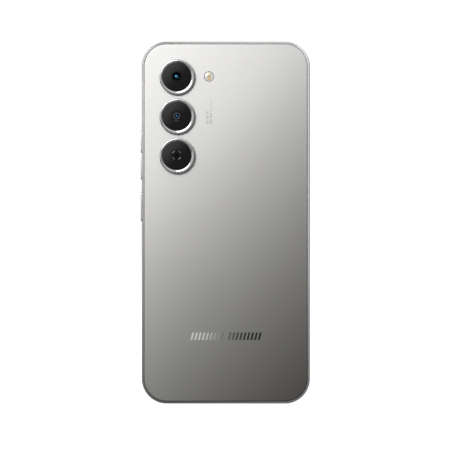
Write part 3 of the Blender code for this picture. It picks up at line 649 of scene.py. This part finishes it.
def window_glass(name, centre):
    """Gloss black, its colour painted lighter towards the upper left as a painted reflection and
    darker round the opening, and this camera's own marks.
    """
    black = Finish("window_" + name, 0.05, 0.0, IOR=1.36, Coat_Weight=0.1, Coat_Roughness=0.02)
    across, through, up = black.place()
    beside, above = across - centre.x / mm, up - centre.z / mm
    out = (beside * beside + above * above) ** 0.5
    # Painted reflection: the black is painted lighter towards the upper left. Painted shade: it is
    # painted darker again round the opening, for the dark pupil.
    painted_sheen = black.rise(above - beside, -3.5, 10.5)
    colour = black.tint(painted_sheen, (0.0022, 0.0022, 0.0022), (0.046, 0.046, 0.046))
    colour = black.tint(black.rise(out, 3.4, 1.7), colour, (0.001, 0.001, 0.001))
    edge = black.rise(out, 6.45, 6.7) * 0.5
    colour = black.tint(edge, colour, (0.012, 0.012, 0.012))
    if name == "middle":
        rim = black.rise(out, 1.05, 1.25) * (1 - black.rise(out, 1.4, 1.6))
        low_arc = (black.rise(out, 2.1, 2.22) * (1 - black.rise(out, 2.4, 2.52))
                   * black.rise(above / out, -0.86, -0.93))
        colour = black.tint(rim, colour, (0.085, 0.09, 0.095))
        colour = black.tint(low_arc, colour, (0.06, 0.06, 0.06))
    if name == "bottom":
        diagonal = black.rise(abs(beside * above) * 2 / (out * out), 0.72, 0.82)
        arcs = black.rise(out, 1.82, 1.94) * (1 - black.rise(out, 2.2, 2.32)) * diagonal
        lit = black.rise(beside * above, 0.5, -0.5) * 0.5 + 0.5
        colour = black.tint(arcs * lit, colour, (0.24, 0.24, 0.24))
    black.feed("Base Color", colour)
    black.feed("Roughness", 0.04 + black.grain(2.5) * 0.03)
    return black


window_radius = 6.8
apertures = {"top": 1.95, "middle": 1.1, "bottom": 0.6}
for name in cameras:
    centre = glass_centres[name]
    disc_low, disc_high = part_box("camera_glass_" + name)
    front_y, rear_y = disc_low.y, disc_high.y
    hole = apertures[name]
    passes = [(window_radius, rear_y), (window_radius, front_y + 0.12 * mm),
              (6.76, front_y + 0.05 * mm), (6.70, front_y + 0.02 * mm),
              (6.5, front_y + 0.012 * mm), (3.6, front_y + 0.004 * mm),
              (hole + 0.05, front_y), (hole, front_y + 0.03 * mm), (hole, rear_y - 0.1 * mm),
              (hole + 0.3, rear_y), (window_radius, rear_y)]
    disc = turned("camera_window_" + name,
                  [(radius * mm, depth, centre) for radius, depth in passes], 128, True)
    dress(disc, window_glass(name, centre))
    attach(disc, "phone")
    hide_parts("camera_glass_" + name)


def coated_lens(name, centre, coating, painted_glints):
    """Coated front element in a ribbed black barrel, with small painted spots that glow in place of
    reflections from deeper in the lens.
    """
    lens = Finish(name + "_finish", 0.1)
    across, through, up = lens.place()
    beside, above = across - centre.x / mm, up - centre.z / mm
    out = (beside * beside + above * above) ** 0.5
    element = 1 - lens.rise(out, lens_bowl[name] - 0.05, lens_bowl[name] + 0.02)
    rib = lens.rise(abs((out * 5) % 1.0 - 0.5), 0.3, 0.45)
    barrel = lens.tint(rib, (0.002, 0.002, 0.002), (0.010, 0.010, 0.010))
    colour = lens.tint(element, barrel, coating)
    glow = None
    # Painted highlights: each spot glows in place of a reflection off a surface deeper in the lens.
    for side, rise, radius, tone in painted_glints:
        spot = ((beside - side) * (beside - side) + (above - rise) * (above - rise)) ** 0.5
        share = 1 - lens.rise(spot, radius * 0.35, radius * 1.25)
        glow = lens.tint(share, glow or (0, 0, 0), tone)
    lens.feed("Base Color", colour)
    lens.feed("Metallic", element * 0.95)
    lens.feed("Roughness", 0.30 - element * 0.22 + lens.grain(1.2) * 0.03)
    if glow:
        lens.feed("Emission Color", glow)
        lens.shader.inputs["Emission Strength"].default_value = 0.8
    return lens


def lens_stack(name, centre, barrel, bowl, front_y, floor_y):
    """Barrel with stepped baffles down to a domed front element, whose curve is bowl wide."""
    curve = bowl * 1.45
    sag = curve - (curve * curve - bowl * bowl) ** 0.5
    passes = [(barrel, floor_y), (barrel, front_y + 0.25 * mm), (barrel * 0.94, front_y),
              (barrel * 0.84, front_y), (barrel * 0.82, front_y + 0.3 * mm),
              (barrel * 0.74, front_y + 0.3 * mm), (barrel * 0.72, front_y + (0.1 + sag) * mm)]
    rings = 9
    for ring in range(rings):
        radius = bowl * (1 - ring / rings)
        drop = curve - (curve * curve - radius * radius) ** 0.5
        passes.append((radius, front_y + (0.1 + drop) * mm))
    passes.append((0, front_y + 0.1 * mm))
    return turned(name, [(radius * mm if radius else 0, depth, centre) for radius, depth in passes])


lens_bowl = {"top": 2.05, "middle": 1.25, "bottom": 1.05}
main_low, main_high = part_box("main_camera_lens")
main_lens = lens_stack("main_lens_barrel", glass_centres["top"], 3.3, lens_bowl["top"],
                       main_low.y, main_high.y)
dress(main_lens, coated_lens("top", glass_centres["top"], (0.010, 0.062, 0.098),
                             [(0.30, -0.16, 0.42, (0.10, 0.13, 0.22))]))
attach(main_lens, "focus_lens")
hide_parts("main_camera_lens")

turret_y = -3.96 * mm
for name, barrel, coating, painted_glints in (
        ("middle", 1.9, (0.008, 0.040, 0.100), [(0.35, -0.3, 0.4, (0.03, 0.10, 0.24))]),
        ("bottom", 1.6, (0.002, 0.002, 0.003), [])):
    centre = glass_centres[name]
    stack = lens_stack("lens_barrel_" + name, centre, barrel, lens_bowl[name],
                       turret_y - 0.35 * mm, turret_y + 0.3 * mm)
    dress(stack, coated_lens(name, centre, coating, painted_glints))
    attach(stack, "phone")


# ---------------------------------------------------------------- flash
# Clear moulded lens set flush in the panel, with fine rings on its face. Two light diodes
# with yellow phosphor show through it, the upper one cooler than the lower.

grooves = [(2.2, 0.10), (2.12, 0.02), (2.0, 0.0), (1.86, 0.0), (1.84, 0.05), (1.62, 0.01),
           (1.60, 0.05), (1.38, 0.01), (1.36, 0.05), (1.1, 0.01), (1.08, 0.05), (0.6, 0.02)]
flash_passes = [(2.8, flash_high.y, flash_centre), (2.8, flash_high.y - 0.3 * mm, flash_centre),
                (2.2, flash_high.y - 0.3 * mm, flash_centre)]
flash_passes += [(radius, flash_low.y + drop * mm, flash_centre) for radius, drop in grooves]
flash_passes.append((0, flash_low.y + 0.01 * mm, flash_centre))
flash = turned("flash_window", [(radius * mm, depth, spot) for radius, depth, spot in flash_passes])

clear = Finish("flash_clear", 0.12, 0.0, IOR=1.5, Coat_Weight=0.6, Coat_Roughness=0.05)
across, through, up = clear.place()
beside, above = across - flash_centre.x / mm, up - flash_centre.z / mm
out = (beside * beside + above * above) ** 0.5
colour = clear.tint(clear.grain(0.5), (0.72, 0.72, 0.69), (0.82, 0.82, 0.80))
for height, half_side, tone in ((0.95, 0.62, (0.70, 0.73, 0.34)), (0.1, 0.55, (0.55, 0.47, 0.30)),
                                (-1.0, 0.58, (0.78, 0.55, 0.28))):
    reach = beside.math("MAXIMUM", abs(beside) * 0.7, abs(above - height))
    colour = clear.tint(1 - clear.rise(reach, half_side * 0.6, half_side * 1.35), colour, tone)
colour = clear.tint(clear.rise(out, 1.92, 2.08), colour, (0.40, 0.40, 0.40))
clear.feed("Base Color", colour)
clear.feed("Roughness", 0.10 + clear.grain(0.4) * 0.1)
dress(flash, clear)
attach(flash, "phone")
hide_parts("flash_lens")


def paint(finish, *names):
    """Give CAD parts, whose shape is right as it is, their finish."""
    for name in names:
        nodes[name].data.materials.clear()
        nodes[name].data.materials.append(finish.material)


die = Finish("diode_phosphor", 0.5)
die.feed("Base Color", die.tint(die.grain(0.4, 3.0), (0.78, 0.62, 0.10), (0.92, 0.80, 0.25)))
die.relief(die.grain(0.15), 0.01)
paint(die, "flash_led")


# ---------------------------------------------------------------- side keys
# Three caps of the frame's own metal, each on a flange that holds it in its slot. The lowest
# carries a touch sensor for fingerprints, let into its face.

key_metal = blasted("key_metal", 0.31, 0.36)
key_bodies = ("volume_up_key", "volume_down_key", "power_key")
sensor_low, sensor_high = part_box("fingerprint_sensor")
flange_half, flange_thick = 1.4 * mm, 0.5 * mm
stem_inset, stem_long = 0.8 * mm, 0.4 * mm
for name, body in zip(key_nodes, key_bodies):
    key_low, key_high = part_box(name)
    cap_low, cap_high = key_low.z + flange, key_high.z - flange
    inner_x = key_high.x - flange_thick - stem_long
    cap = slab("cap_" + name, (key_low.x, -key_half, cap_low), (inner_x, key_half, cap_high),
               key_half * 0.98, X)
    pick("EDGE", lying(X, key_low.x))
    soften(0.24 * mm, 4)
    pick("FACE", lying(X, inner_x))
    bpy.ops.mesh.extrude_region_move(TRANSFORM_OT_translate={"value": (0, 0, 0)})
    lengthen = (key_high.z - key_low.z) / (cap_high - cap_low)
    bpy.ops.transform.resize(value=(1, flange_half / key_half, lengthen),
                             center_override=(inner_x, 0, (cap_low + cap_high) / 2))
    bpy.ops.mesh.extrude_region_move(TRANSFORM_OT_translate={"value": (flange_thick, 0, 0)})
    bpy.ops.mesh.inset(thickness=stem_inset)
    bpy.ops.mesh.extrude_region_move(TRANSFORM_OT_translate={"value": (stem_long, 0, 0)})
    close()
    if body == "power_key":
        around = 0.1 * mm
        recess = slab("recess", (key_low.x - 1 * mm, sensor_low.y - around, sensor_low.z - around),
                      (sensor_high.x + around, sensor_high.y + around, sensor_high.z + around),
                      sensor_high.y, X)
        close()
        carve(cap, recess)
    dress(cap, key_metal)
    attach(cap, body)
    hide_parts(name)

touch = slab("touch_plate", sensor_low, sensor_high, sensor_high.y * 0.98, X)
pick("EDGE", lying(X, sensor_low.x))
soften(0.08 * mm, 3)
close()
touch_coat = Finish("touch_coat", 0.25, 0.2, Coat_Weight=0.5, Coat_Roughness=0.1)
touch_coat.feed("Base Color", touch_coat.tint(touch_coat.grain(0.3), (0.30, 0.30, 0.31),
                                              (0.36, 0.36, 0.37)))
touch_coat.relief(touch_coat.grain(0.2), 0.002)
dress(touch, touch_coat)
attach(touch, "power_key")
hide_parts("fingerprint_sensor")


# ---------------------------------------------------------------- inlay and rating marks
# A row of slim polished slanted bars lies in the panel, with a gap at its middle. Beside the
# cameras run two fine printed columns of plain dashes.

def lay_out(first, shifts):
    """Copies of a piece, each moved by a shift and all made one with it."""
    copies = []
    for shift in shifts:
        bpy.ops.object.select_all(action="DESELECT")
        first.select_set(True)
        bpy.context.view_layer.objects.active = first
        bpy.ops.object.duplicate_move(TRANSFORM_OT_translate={"value": shift})
        copies.append(bpy.context.object)
    for copy in copies + [first]:
        copy.select_set(True)
    bpy.context.view_layer.objects.active = first
    bpy.ops.object.join()
    return first


bar_low, bar_high = 29.15 * mm, 32.6 * mm
bar_wide, bar_pitch, slant = 0.85 * mm, 1.72 * mm, 0.8 * mm
first_x = -16.2 * mm
slim = block("back_inlay", (first_x, back_y - 0.02 * mm, bar_low),
             (first_x + bar_wide, back_y + 0.05 * mm, bar_high))
pick("EDGE", along(Y))
soften(0.12 * mm, 3)
pick("VERT", lambda vert: vert.co.z > (bar_low + bar_high) / 2)
bpy.ops.transform.translate(value=(slant, 0, 0))
close()
group = 9
gap_steps = 0.95
steps = list(range(1, group)) + [group + gap_steps + step for step in range(group)]
inlay = lay_out(slim, [Vector((step * bar_pitch, 0, 0)) for step in steps])
mirror = Finish("inlay_mirror", 0.12, 1.0)
across, through, up = mirror.place()
# Painted reflection: the bars are painted pale and barely metallic at the left, falling to dark
# mirror metal at the right, as if lit from the left.
side = mirror.rise(across + mirror.grain(3) * 3, -12, 14)
mirror.feed("Base Color", mirror.tint(side, (0.70, 0.70, 0.70), (0.07, 0.068, 0.065)))
mirror.feed("Metallic", 0.1 + mirror.rise(across, -14, 6) * 0.9)
mirror.feed("Roughness", 0.10 + mirror.grain(0.5) * 0.08)
dress(inlay, mirror)
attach(inlay, "phone")

mark_x, mark_z = -9.0 * mm, 128.2 * mm
dash_wide, dash_tall = 1.1 * mm, 0.25 * mm
dash_pitch, column_pitch = 0.55 * mm, 1.65 * mm
mark = block("rating_marks", (mark_x, back_y - 0.006 * mm, mark_z),
             (mark_x + dash_wide, back_y + 0.05 * mm, mark_z + dash_tall))
pick("EDGE", along(Y))
soften(0.1 * mm, 2)
close()
shifts = [Vector((0, 0, dash_pitch * step)) for step in range(1, 11) if step not in (3, 7)]
shifts += [Vector((column_pitch, 0, dash_pitch * step)) for step in range(21) if step % 5 != 4]
marks = lay_out(mark, shifts)
ink = Finish("grey_ink", 0.5, 0.0)
upper = ink.rise(ink.place()[Z], 132, 136)
ink.feed("Base Color", ink.tint(ink.grain(0.3) * 0.2 + upper * 0.6, (0.32, 0.32, 0.315),
                                (0.70, 0.70, 0.69)))
dress(marks, ink)
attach(marks, "phone")


# ---------------------------------------------------------------- card tray
# Moulded drawer with a stepped pocket for the cards and a bezel that closes its seat flush
# with the frame. A pin goes in at the bezel's small hole to push it out.

bezel_x = tray_high.x - 0.85 * mm
drawer_half, into_bezel = 0.5 * mm, 0.2 * mm
drawer = slab("card_drawer", (tray_low.x, tray_middle - drawer_half, drawer_low),
              (bezel_x + into_bezel, tray_middle + drawer_half, drawer_high), 0.8 * mm, Y, 6)
close()
bezel = slab("bezel", (bezel_x, tray_low.y, tray_low.z), tray_high,
             (tray_high.y - tray_middle) * 0.98, X)
pick("EDGE", lying(X, tray_high.x))
soften(0.12 * mm, 3)
close()
pocket_start, pocket_end = 22.3 * mm, 34.8 * mm
shelf, rail = 0.5 * mm, 0.9 * mm
pocket = slab("pocket", (pocket_start, tray_middle - 1 * mm, drawer_low + rail),
              (pocket_end, tray_middle + 0.25 * mm, drawer_high - rail), 0.5 * mm, Y, 4)
close()
opening = slab("opening", (pocket_start + shelf, tray_middle - 1 * mm, drawer_low + rail + shelf),
               (pocket_end - shelf, tray_middle + 1 * mm, drawer_high - rail - shelf),
               0.5 * mm, Y, 4)
close()
carve(drawer, pocket, opening)
join = drawer.modifiers.new("join", "BOOLEAN")
join.operation = "UNION"
join.object = bezel
bpy.context.view_layer.objects.active = drawer
bpy.ops.object.modifier_apply(modifier=join.name)
bpy.data.objects.remove(bezel)
eject_z, pin_hole = 121.7 * mm, 0.5 * mm
carve(drawer, bar("drill", (tray_high.x - 2 * mm, tray_middle, eject_z),
                  (tray_high.x + 1 * mm, tray_middle, eject_z), pin_hole, 32))
dress(drawer, frame_metal)
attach(drawer, "card_tray")
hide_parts("sim_tray")


# ---------------------------------------------------------------- plug socket
# Drawn steel shell with a black moulded tongue inside. Gold-plated contacts lie in a row on
# each face of the tongue.

shell_wall = 0.3 * mm
shell = slab("port_shell", port_low, port_high, mouth_half - clearance - 0.02 * mm, Z, 14)
pick("FACE", lambda face: abs(face.normal.z) > 0.9)
bpy.ops.mesh.inset(thickness=shell_wall, use_individual=True)
pick("FACE", lambda face: abs(face.normal.z) > 0.9 and face.calc_area() > 15 * mm * mm)
bpy.ops.mesh.bridge_edge_loops()
at_mouth = lying(Z, port_low.z)
pick("EDGE", lambda edge: at_mouth(edge) and len(edge.link_faces) == 2
     and abs(edge.link_faces[0].normal.z - edge.link_faces[1].normal.z) > 0.5)
soften(0.07 * mm, 2)
close()
drawn = Finish("drawn_steel", 0.28, 1.0)
streaks = drawn.grain(0.2, 2.0, stretch=(1, 1, 0.1))
drawn.feed("Base Color", drawn.tint(streaks, (0.42, 0.42, 0.43), (0.60, 0.60, 0.61)))
drawn.feed("Roughness", 0.2 + streaks * 0.2)
drawn.relief(streaks, 0.002)
dress(shell, drawn)
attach(shell, "phone")
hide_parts("usb_c_shell")

tongue_low, tongue_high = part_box("usb_c_tongue")
tongue_half = 0.35 * mm
base_start = 6.4 * mm
tongue = slab("port_tongue", (tongue_low.x, port_middle - tongue_half, tongue_low.z),
              (tongue_high.x, port_middle + tongue_half, base_start), 0.3 * mm, Y, 4)
pick("EDGE", lying(Z, tongue_low.z))
soften(0.1 * mm, 3)
pick("FACE", lying(Z, base_start))
bpy.ops.mesh.extrude_region_move(TRANSFORM_OT_translate={"value": (0, 0, 0)})
bpy.ops.transform.resize(value=(1, (tongue_high.y - tongue_low.y) / (2 * tongue_half), 1),
                         center_override=(0, port_middle, base_start))
bpy.ops.mesh.extrude_region_move(TRANSFORM_OT_translate={
    "value": (0, 0, tongue_high.z - base_start)})
close()


def moulded(name, tone, roughness):
    """Moulded black plastic with a fine spark-eroded texture."""
    plastic = Finish(name, roughness)
    texture = plastic.grain(0.2, 3.0)
    plastic.feed("Base Color", plastic.tint(texture, [0.7 * part for part in tone],
                                            [1.4 * part for part in tone]))
    plastic.feed("Roughness", roughness - 0.06 + plastic.grain(0.8) * 0.12)
    plastic.relief(texture, 0.006)
    return plastic


black_moulded = moulded("black_moulded", (0.016, 0.016, 0.018), 0.5)
dress(tongue, black_moulded)
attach(tongue, "phone")
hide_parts("usb_c_tongue")

contact_x, contact_pitch, contact_half = -2.75 * mm, 0.5 * mm, 0.13 * mm
contact_low, contact_high = tongue_low.z + 0.9 * mm, tongue_low.z + 4.8 * mm
contact_proud = tongue_half + 0.03 * mm
contact = block("port_contacts",
                (contact_x - contact_half, port_middle - contact_proud, contact_low),
                (contact_x + contact_half, port_middle + contact_proud, contact_high))
pick("EDGE", lying(Z, contact_low))
soften(0.05 * mm, 2)
close()
contacts = lay_out(contact, [Vector((contact_pitch * step, 0, 0)) for step in range(1, 12)])
gold = Finish("plated_gold", 0.25, 1.0)
gold.feed("Base Color", gold.tint(gold.grain(0.3), (0.80, 0.56, 0.20), (0.95, 0.74, 0.36)))
gold.feed("Roughness", 0.18 + gold.grain(0.2) * 0.15)
dress(contacts, gold)
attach(contacts, "phone")


# ---------------------------------------------------------------- meshes
# Etched steel meshes over the earpiece and behind the loudspeaker's holes. Each is a fine
# grid of round holes, dark where it is open.

def etched(name, first_axis, second_axis, pitch):
    """Steel sheet with rows of round holes a pitch apart in millimetres."""
    sheet = Finish(name, 0.4, 0.9)
    axes = sheet.place()
    steps = [abs((axes[axis] / pitch) % 1.0 - 0.5) for axis in (first_axis, second_axis)]
    from_hole = (steps[0] * steps[0] + steps[1] * steps[1]) ** 0.5
    solid = sheet.rise(from_hole, 0.26, 0.34)
    sheet.feed("Base Color", sheet.tint(solid, (0.004, 0.004, 0.004), (0.16, 0.16, 0.165)))
    sheet.feed("Metallic", solid * 0.9)
    sheet.relief(solid, 0.08)
    return sheet


paint(etched("earpiece_etched", X, Z, 0.28), "earpiece_mesh")
paint(etched("speaker_etched", X, Y, 0.22), "speaker_mesh")


# ---------------------------------------------------------------- plates and fasteners inside
# The rolled mid plate and its screws, the shield cans, the card cage with its ejector, the
# motor, the earpiece's driver and the microphones' lids. All are bare metal, with the marks
# of pressing, rolling or turning.

def bare(name, dark, bright, roughness, stretch, grain=0.4):
    """Bare metal with marks that run one way, and a faint mottle."""
    metal = Finish(name, roughness, 1.0)
    marks = metal.grain(grain, 3.0, stretch)
    cloud = metal.grain(6, 2.0)
    metal.feed("Base Color", metal.tint(marks * 0.6 + cloud * 0.4, dark, bright))
    metal.feed("Roughness", roughness - 0.08 + marks * 0.16)
    metal.relief(marks, 0.004)
    return metal


paint(bare("rolled_sheet", (0.24, 0.24, 0.25), (0.42, 0.42, 0.43), 0.42, (1, 1, 0.08)),
      "mid_plate")
paint(bare("turned_steel", (0.40, 0.40, 0.41), (0.66, 0.66, 0.67), 0.30, (1, 6, 1), 0.2),
      *[name for name in nodes if name.startswith("screw_")],
      "sim_lever_pin", "sim_eject_plunger", "sim_eject_lever")
paint(bare("tinned_can", (0.58, 0.58, 0.57), (0.80, 0.80, 0.78), 0.34, (0.3, 1, 1), 0.8),
      "processor_shield", "radio_shield", "sim_reader")
paint(bare("motor_can", (0.45, 0.45, 0.46), (0.68, 0.68, 0.69), 0.26, (1, 1, 1), 0.3),
      "vibration_motor_case", "earpiece_receiver")
paint(bare("cast_weight", (0.30, 0.30, 0.31), (0.52, 0.52, 0.53), 0.45, (1, 1, 1), 0.25),
      "vibration_rotor")
paint(bare("motor_brass", (0.26, 0.18, 0.08), (0.50, 0.38, 0.18), 0.40, (1, 1, 1), 0.5),
      "vibration_motor_base")
paint(bare("microphone_lid", (0.50, 0.45, 0.30), (0.78, 0.70, 0.50), 0.32, (1, 1, 1), 0.3),
      "top_microphone", "bottom_microphone")


# ---------------------------------------------------------------- boards and flexible circuits
# Green fibreglass boards with copper tracks under the mask, and amber film circuits whose
# copper lines run along them.

def circuit(name, mask, copper, pitch, track_axes):
    """Tracks a pitch apart in millimetres, broken up into runs, under a tinted film."""
    film = Finish(name, 0.42, 0.1, Coat_Weight=0.3, Coat_Roughness=0.2)
    axes = film.place()
    tracks = None
    for axis in track_axes:
        line = 1 - film.rise(abs((axes[axis] / pitch) % 1.0 - 0.5), 0.14, 0.22)
        patch = film.rise(film.grain(7 + 2 * axis, 0.0), 0.48, 0.52)
        run = line if len(track_axes) == 1 else line * patch
        tracks = run if tracks is None else tracks.math("MAXIMUM", tracks, run)
    film.feed("Base Color", film.tint(tracks * 0.75, mask, copper))
    film.feed("Roughness", 0.38 + film.grain(0.5) * 0.1)
    film.relief(tracks, 0.02)
    return film


paint(circuit("board_mask", (0.006, 0.070, 0.042), (0.05, 0.20, 0.09), 0.9, (X, Z)),
      "main_board", "sub_board")
paint(circuit("film_circuit", (0.20, 0.085, 0.012), (0.42, 0.20, 0.04), 0.7, (X,)),
      "main_flex", "display_flex", "battery_flex")
paint(circuit("key_film", (0.20, 0.085, 0.012), (0.42, 0.20, 0.04), 0.5, (Y,)),
      "side_key_flex")


# ---------------------------------------------------------------- cell, modules and mouldings
# The pouch cell in its dull wrap, moulded brackets and boxes, the camera housings and the
# driver. Under them lie glue, tape, the display's layers and the socket's seal.

wrap = Finish("cell_wrap", 0.45, 0.2)
wrinkle = wrap.grain(5, 3.0, (1, 1, 0.4))
wrap.feed("Base Color", wrap.tint(wrinkle, (0.030, 0.030, 0.033), (0.075, 0.075, 0.080)))
wrap.feed("Roughness", 0.38 + wrap.grain(2) * 0.16)
wrap.relief(wrinkle, 0.15)
paint(wrap, "battery")

paint(black_moulded, "board_cover", "speaker_box", "antenna_cable")
paint(moulded("camera_housing", (0.020, 0.020, 0.023), 0.36),
      "main_camera", "wide_camera", "close_up_camera", "front_camera")
paint(moulded("driver_cone", (0.10, 0.10, 0.11), 0.38), "loudspeaker")
paint(moulded("glue_foam", (0.030, 0.030, 0.030), 0.8),
      "rear_cover_adhesive", "display_adhesive")
paint(moulded("seal_rubber", (0.40, 0.025, 0.02), 0.65), "usb_seal")

tape = Finish("white_tape", 0.5)
weave = abs((tape.place()[Z] / 0.8) % 1.0 - 0.5) * 2
tape.feed("Base Color", tape.tint(weave, (0.66, 0.66, 0.62), (0.84, 0.84, 0.81)))
tape.relief(weave, 0.02)
paint(tape, "battery_adhesive")

sheet = Finish("light_guide", 0.3)
across, through, up = sheet.place()
dots = 1 - sheet.rise(((across % 1.2 - 0.6) * (across % 1.2 - 0.6)
                       + (up % 1.2 - 0.6) * (up % 1.2 - 0.6)) ** 0.5, 0.2, 0.3)
sheet.feed("Base Color", sheet.tint(dots, (0.74, 0.74, 0.75), (0.92, 0.92, 0.92)))
sheet.relief(dots, 0.02)
paint(sheet, "backlight_unit")

cells = Finish("display_layers", 0.15)
across, through, up = cells.place()
lines = abs((across * 6) % 1.0 - 0.5) + abs((up * 6) % 1.0 - 0.5)
cells.feed("Base Color", cells.tint(lines, (0.008, 0.008, 0.012), (0.022, 0.022, 0.032)))
cells.feed("Roughness", 0.12 + cells.grain(8) * 0.1)
paint(cells, "display_panel")
